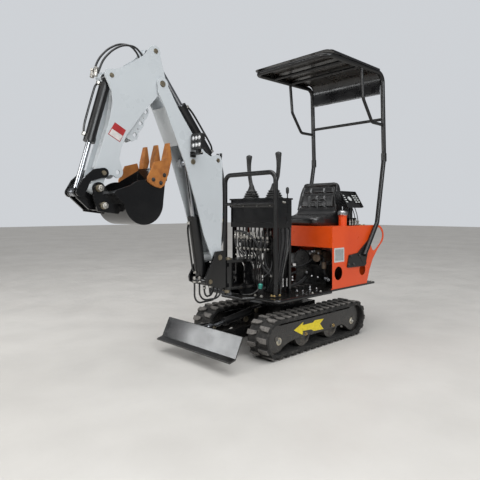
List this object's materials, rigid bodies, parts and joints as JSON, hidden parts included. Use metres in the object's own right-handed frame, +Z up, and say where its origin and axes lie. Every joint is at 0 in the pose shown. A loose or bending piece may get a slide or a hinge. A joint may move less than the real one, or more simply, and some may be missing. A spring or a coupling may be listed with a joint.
{
  "type": "mini excavator",
  "caption": "Small open-cab digger on rubber tracks: orange body with canopy, joystick console, front blade, and a swinging pale boom, arm and toothed bucket.",
  "frame": {"origin": "on the floor, under the middle of the machine's outline", "axes": "+X forward, the way the boom and the blade point; +Y to the driver's left; +Z up"},
  "size_m": [2.687, 0.8, 2.2161],
  "materials": {
    "hose_rubber": "black hose cover, faint sheen",
    "track_rubber": "matt, worn grey on the lugs",
    "black_paint": "satin black",
    "orange_paint": "gloss orange",
    "pale_paint": "gloss pale grey-white",
    "ochre_iron": "matt ochre brown",
    "grey_iron": "dusty dark grey",
    "engine_iron": "dark grey",
    "zinc_steel": "yellow zinc",
    "chromed_rod": "polished",
    "black_plastic": "matt black",
    "seat_vinyl": "black vinyl with a soft sheen"
  },
  "bodies": {
    "undercarriage": {"track_frame": "black_paint", "track_left": "track_rubber", "track_right": "track_rubber", "track_wheels": "grey_iron", "frame_pins": "zinc_steel"},
    "blade": {"dozer_blade": "black_paint", "blade_pins": "zinc_steel"},
    "blade_barrel": {"blade_ram_barrel": "black_paint"},
    "blade_rod": {"blade_ram_rod": "chromed_rod"},
    "house": {"deck": "black_paint", "deck_pins": "zinc_steel", "body_shell": "orange_paint", "filler_cap": "chromed_rod", "engine": "engine_iron", "canopy_frame": "black_paint", "canopy_roof": "black_paint", "guard_hoop": "black_paint", "console": "black_paint", "joysticks": "black_plastic", "valve_bank": "engine_iron", "seat": "seat_vinyl", "instrument_box": "black_plastic"},
    "swing_barrel": {"swing_ram_barrel": "black_paint"},
    "swing_rod": {"swing_ram_rod": "chromed_rod"},
    "swing_post": {"swing_bracket": "black_paint", "bracket_pins": "zinc_steel", "bracket_hoses": "hose_rubber"},
    "boom_barrel": {"boom_ram_barrel": "black_paint"},
    "boom_rod": {"boom_ram_rod": "chromed_rod"},
    "boom": {"boom": "pale_paint", "boom_pins": "zinc_steel", "work_lamp": "black_plastic", "boom_hoses": "hose_rubber"},
    "arm_barrel": {"arm_ram_barrel": "black_paint"},
    "arm_rod": {"arm_ram_rod": "chromed_rod"},
    "arm": {"arm": "pale_paint", "arm_pins": "zinc_steel", "arm_hoses": "hose_rubber"},
    "bucket_barrel": {"bucket_ram_barrel": "black_paint"},
    "bucket_rod": {"bucket_ram_rod": "chromed_rod"},
    "rocker": {"rocker": "black_paint"},
    "bucket": {"bucket": "black_paint", "bucket_pins": "zinc_steel", "bucket_cutting_edges": "ochre_iron"},
    "bucket_link": {"bucket_link": "black_paint"}
  },
  "joints": [
    {"name": "slew", "type": "hinge", "parent": "undercarriage", "child": "house", "pos_m": [-0.393, 0, 0.351], "axis": [0, 0, 1], "continuous": true},
    {"name": "blade_lift", "type": "hinge", "parent": "undercarriage", "child": "blade", "pos_m": [-0.093, 0, 0.175], "axis": [0, -1, 0], "range_deg": [-18, 5]},
    {"name": "blade_ram_hinge", "type": "hinge", "parent": "undercarriage", "child": "blade_barrel", "pos_m": [-0.063, 0, 0.268], "axis": [0, -1, 0], "range_deg": [-19, 6]},
    {"name": "blade_ram_slide", "type": "slide", "parent": "blade_barrel", "child": "blade_rod", "axis": [0.9885, 0, -0.1512], "range_m": [-0.012, 0.034]},
    {"name": "boom_swing", "type": "hinge", "parent": "house", "child": "swing_post", "pos_m": [0.197, 0, 0.555], "axis": [0, 0, 1], "range_deg": [-50, 50]},
    {"name": "swing_ram_hinge", "type": "hinge", "parent": "house", "child": "swing_barrel", "pos_m": [-0.343, -0.172, 0.52], "axis": [0, 0, 1], "range_deg": [-6, 6]},
    {"name": "swing_ram_slide", "type": "slide", "parent": "swing_barrel", "child": "swing_rod", "axis": [0.9956, 0.0932, 0], "range_m": [-0.1, 0.1]},
    {"name": "boom_lift", "type": "hinge", "parent": "swing_post", "child": "boom", "pos_m": [0.348, 0, 0.69], "axis": [0, -1, 0], "range_deg": [-95, 2]},
    {"name": "boom_ram_hinge", "type": "hinge", "parent": "swing_post", "child": "boom_barrel", "pos_m": [0.432, 0, 0.535], "axis": [0, -1, 0], "range_deg": [-94, 3]},
    {"name": "boom_ram_slide", "type": "slide", "parent": "boom_barrel", "child": "boom_rod", "axis": [0.1624, 0, 0.9867], "range_m": [-0.272, 0.006]},
    {"name": "arm_swing", "type": "hinge", "parent": "boom", "child": "arm", "pos_m": [0.793, 0, 1.775], "axis": [0, 1, 0], "range_deg": [-105, 2]},
    {"name": "arm_ram_hinge", "type": "hinge", "parent": "boom", "child": "arm_barrel", "pos_m": [0.345, 0, 1.344], "axis": [0, 1, 0], "range_deg": [-8, 1]},
    {"name": "arm_ram_slide", "type": "slide", "parent": "arm_barrel", "child": "arm_rod", "axis": [0.6176, 0, 0.7865], "range_m": [-0.305, 0.007]},
    {"name": "bucket_curl", "type": "hinge", "parent": "arm", "child": "bucket", "pos_m": [1.223, 0, 1.125], "axis": [0, 1, 0], "range_deg": [-150, 3]},
    {"name": "rocker_hinge", "type": "hinge", "parent": "arm", "child": "rocker", "pos_m": [1.183, 0, 1.212], "axis": [0, 1, 0], "range_deg": [-85, 3]},
    {"name": "link_hinge", "type": "hinge", "parent": "bucket", "child": "bucket_link", "pos_m": [1.197, 0, 1.031], "axis": [0, 1, 0], "range_deg": [-3, 98]},
    {"name": "bucket_ram_hinge", "type": "hinge", "parent": "arm", "child": "bucket_barrel", "pos_m": [1.127, 0, 1.764], "axis": [0, 1, 0], "range_deg": [-7, 1]},
    {"name": "bucket_ram_slide", "type": "slide", "parent": "bucket_barrel", "child": "bucket_rod", "axis": [0.278, 0, -0.9606], "range_m": [-0.224, 0.006]}
  ],
  "couplings": [
    {"joint": "blade_ram_hinge", "follows": "blade_lift", "ratio": 1},
    {"joint": "blade_ram_slide", "follows": "blade_lift", "m_per_rad": -0.0971},
    {"joint": "swing_ram_hinge", "follows": "boom_swing", "ratio": -0.044598},
    {"joint": "swing_ram_slide", "follows": "boom_swing", "m_per_rad": 0.10452},
    {"joint": "boom_ram_hinge", "follows": "boom_lift", "ratio": 0.976},
    {"joint": "boom_ram_slide", "follows": "boom_lift", "m_per_rad": 0.156},
    {"joint": "arm_ram_hinge", "follows": "arm_swing", "ratio": 0.071048},
    {"joint": "arm_ram_slide", "follows": "arm_swing", "m_per_rad": 0.16534},
    {"joint": "rocker_hinge", "follows": "bucket_curl", "ratio": 0.5574},
    {"joint": "link_hinge", "follows": "bucket_curl", "ratio": -0.64213},
    {"joint": "bucket_ram_hinge", "follows": "bucket_curl", "ratio": 0.0426},
    {"joint": "bucket_ram_slide", "follows": "bucket_curl", "m_per_rad": 0.084683}
  ]
}
